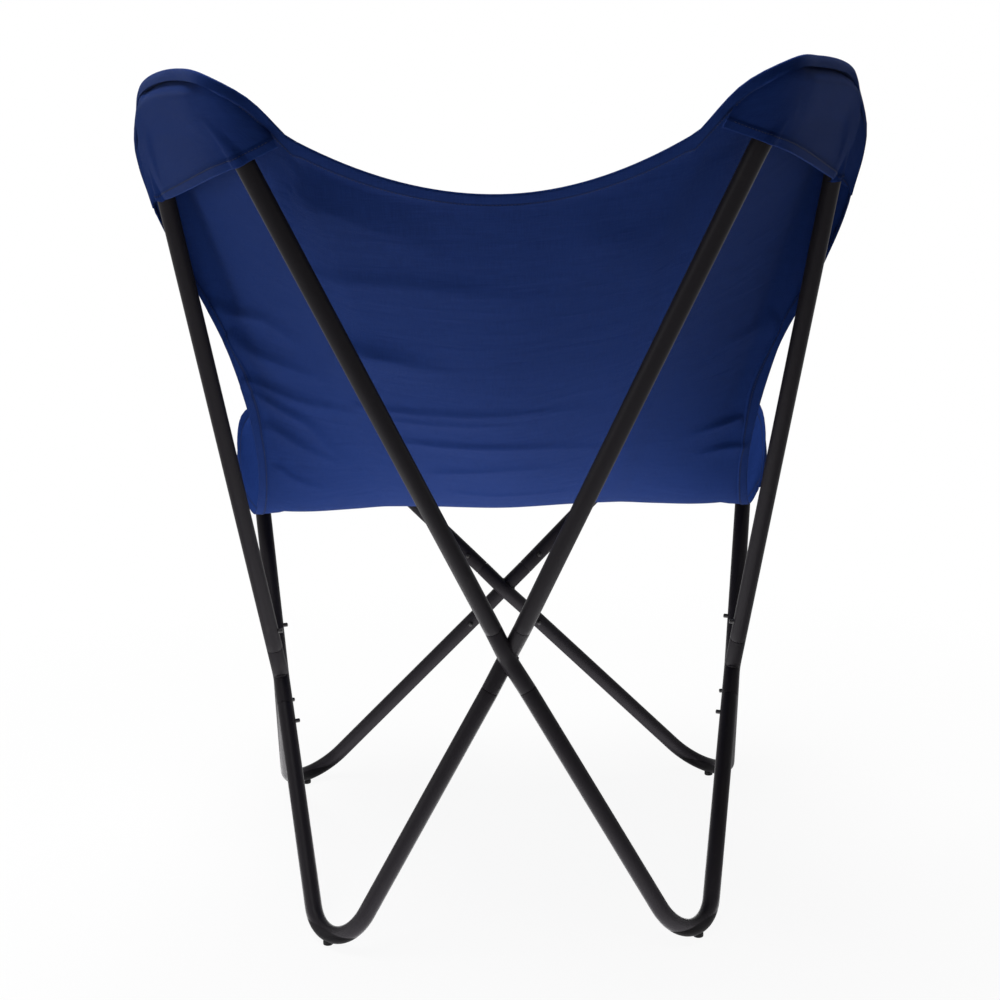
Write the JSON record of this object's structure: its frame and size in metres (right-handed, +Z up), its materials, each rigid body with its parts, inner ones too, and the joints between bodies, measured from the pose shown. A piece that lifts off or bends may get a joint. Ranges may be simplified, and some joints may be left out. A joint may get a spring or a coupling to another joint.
{
  "type": "butterfly sling chair",
  "caption": "Butterfly sling chair: a blue canvas seat hung by corner pockets on a knock-down frame of bent black steel tube with cross connectors and snap buttons.",
  "frame": {"origin": "on the floor, under the middle of the chair's outline", "axes": "+Z up, the sitter faces -Y, +X is the sitter's left"},
  "size_m": [0.758, 0.8288, 0.9224],
  "materials": {
    "tube_paint": "satin black powder coat",
    "button_steel": "blackened",
    "spring_steel": "bright",
    "glide_rubber": "matte",
    "canvas": "matte cotton canvas"
  },
  "bodies": {
    "chair": {"back_left_bow": "tube_paint", "front_left_bow": "tube_paint", "rear_left_leg": "tube_paint", "front_left_leg": "tube_paint", "rear_left_leg_glide": "glide_rubber", "front_left_leg_glide": "glide_rubber", "back_right_bow": "tube_paint", "front_right_bow": "tube_paint", "rear_right_leg": "tube_paint", "front_right_leg": "tube_paint", "rear_right_leg_glide": "glide_rubber", "front_right_leg_glide": "glide_rubber", "rear_cross_connector": "tube_paint", "front_cross_connector": "tube_paint", "left_cross_connector": "tube_paint", "right_cross_connector": "tube_paint", "back_left_bow_rear_spring": "spring_steel", "back_left_bow_side_spring": "spring_steel", "front_left_bow_front_spring": "spring_steel", "front_left_bow_side_spring": "spring_steel", "rear_left_leg_rear_spring": "spring_steel", "rear_left_leg_side_spring": "spring_steel", "front_left_leg_front_spring": "spring_steel", "front_left_leg_side_spring": "spring_steel", "back_right_bow_rear_spring": "spring_steel", "back_right_bow_side_spring": "spring_steel", "front_right_bow_front_spring": "spring_steel", "front_right_bow_side_spring": "spring_steel", "rear_right_leg_rear_spring": "spring_steel", "rear_right_leg_side_spring": "spring_steel", "front_right_leg_front_spring": "spring_steel", "front_right_leg_side_spring": "spring_steel", "sling_panel": "canvas", "back_left_pocket": "canvas", "front_left_pocket": "canvas", "back_right_pocket": "canvas", "front_right_pocket": "canvas"},
    "back_left_bow_rear_snap": {"back_left_bow_rear_button": "button_steel"},
    "back_left_bow_side_snap": {"back_left_bow_side_button": "button_steel"},
    "front_left_bow_front_snap": {"front_left_bow_front_button": "button_steel"},
    "front_left_bow_side_snap": {"front_left_bow_side_button": "button_steel"},
    "rear_left_leg_rear_snap": {"rear_left_leg_rear_button": "button_steel"},
    "rear_left_leg_side_snap": {"rear_left_leg_side_button": "button_steel"},
    "front_left_leg_front_snap": {"front_left_leg_front_button": "button_steel"},
    "front_left_leg_side_snap": {"front_left_leg_side_button": "button_steel"},
    "back_right_bow_rear_snap": {"back_right_bow_rear_button": "button_steel"},
    "back_right_bow_side_snap": {"back_right_bow_side_button": "button_steel"},
    "front_right_bow_front_snap": {"front_right_bow_front_button": "button_steel"},
    "front_right_bow_side_snap": {"front_right_bow_side_button": "button_steel"},
    "rear_right_leg_rear_snap": {"rear_right_leg_rear_button": "button_steel"},
    "rear_right_leg_side_snap": {"rear_right_leg_side_button": "button_steel"},
    "front_right_leg_front_snap": {"front_right_leg_front_button": "button_steel"},
    "front_right_leg_side_snap": {"front_right_leg_side_button": "button_steel"}
  },
  "joints": [
    {"name": "press_back_left_bow_rear", "type": "slide", "parent": "chair", "child": "back_left_bow_rear_snap", "axis": [-0.14, 0.9356, -0.3241], "range_m": [0, 0.0066], "stiffness_N_per_m": 1500, "deforming": ["back_left_bow_rear_spring"]},
    {"name": "press_back_left_bow_side", "type": "slide", "parent": "chair", "child": "back_left_bow_side_snap", "axis": [0.9927, -0.0372, -0.1148], "range_m": [0, 0.0066], "stiffness_N_per_m": 1500, "deforming": ["back_left_bow_side_spring"]},
    {"name": "press_front_left_bow_front", "type": "slide", "parent": "chair", "child": "front_left_bow_front_snap", "axis": [-0.1346, -0.9825, -0.1286], "range_m": [0, 0.0066], "stiffness_N_per_m": 1500, "deforming": ["front_left_bow_front_spring"]},
    {"name": "press_front_left_bow_side", "type": "slide", "parent": "chair", "child": "front_left_bow_side_snap", "axis": [0.9911, 0.0779, -0.1077], "range_m": [0, 0.0066], "stiffness_N_per_m": 1500, "deforming": ["front_left_bow_side_spring"]},
    {"name": "press_rear_left_leg_rear", "type": "slide", "parent": "chair", "child": "rear_left_leg_rear_snap", "axis": [-0.0326, 0.9978, 0.0572], "range_m": [0, 0.0066], "stiffness_N_per_m": 1500, "deforming": ["rear_left_leg_rear_spring"]},
    {"name": "press_rear_left_leg_side", "type": "slide", "parent": "chair", "child": "rear_left_leg_side_snap", "axis": [0.9854, 0.1258, -0.115], "range_m": [0, 0.0066], "stiffness_N_per_m": 1500, "deforming": ["rear_left_leg_side_spring"]},
    {"name": "press_front_left_leg_front", "type": "slide", "parent": "chair", "child": "front_left_leg_front_snap", "axis": [-0.0635, -0.9959, 0.0647], "range_m": [0, 0.0066], "stiffness_N_per_m": 1500, "deforming": ["front_left_leg_front_spring"]},
    {"name": "press_front_left_leg_side", "type": "slide", "parent": "chair", "child": "front_left_leg_side_snap", "axis": [0.9969, 0.0564, 0.0541], "range_m": [0, 0.0066], "stiffness_N_per_m": 1500, "deforming": ["front_left_leg_side_spring"]},
    {"name": "press_back_right_bow_rear", "type": "slide", "parent": "chair", "child": "back_right_bow_rear_snap", "axis": [0.14, 0.9356, -0.3241], "range_m": [0, 0.0066], "stiffness_N_per_m": 1500, "deforming": ["back_right_bow_rear_spring"]},
    {"name": "press_back_right_bow_side", "type": "slide", "parent": "chair", "child": "back_right_bow_side_snap", "axis": [-0.9927, -0.0372, -0.1148], "range_m": [0, 0.0066], "stiffness_N_per_m": 1500, "deforming": ["back_right_bow_side_spring"]},
    {"name": "press_front_right_bow_front", "type": "slide", "parent": "chair", "child": "front_right_bow_front_snap", "axis": [0.1346, -0.9825, -0.1286], "range_m": [0, 0.0066], "stiffness_N_per_m": 1500, "deforming": ["front_right_bow_front_spring"]},
    {"name": "press_front_right_bow_side", "type": "slide", "parent": "chair", "child": "front_right_bow_side_snap", "axis": [-0.9911, 0.0779, -0.1077], "range_m": [0, 0.0066], "stiffness_N_per_m": 1500, "deforming": ["front_right_bow_side_spring"]},
    {"name": "press_rear_right_leg_rear", "type": "slide", "parent": "chair", "child": "rear_right_leg_rear_snap", "axis": [0.0326, 0.9978, 0.0572], "range_m": [0, 0.0066], "stiffness_N_per_m": 1500, "deforming": ["rear_right_leg_rear_spring"]},
    {"name": "press_rear_right_leg_side", "type": "slide", "parent": "chair", "child": "rear_right_leg_side_snap", "axis": [-0.9854, 0.1258, -0.115], "range_m": [0, 0.0066], "stiffness_N_per_m": 1500, "deforming": ["rear_right_leg_side_spring"]},
    {"name": "press_front_right_leg_front", "type": "slide", "parent": "chair", "child": "front_right_leg_front_snap", "axis": [0.0635, -0.9959, 0.0647], "range_m": [0, 0.0066], "stiffness_N_per_m": 1500, "deforming": ["front_right_leg_front_spring"]},
    {"name": "press_front_right_leg_side", "type": "slide", "parent": "chair", "child": "front_right_leg_side_snap", "axis": [-0.9969, 0.0564, 0.0541], "range_m": [0, 0.0066], "stiffness_N_per_m": 1500, "deforming": ["front_right_leg_side_spring"]}
  ]
}
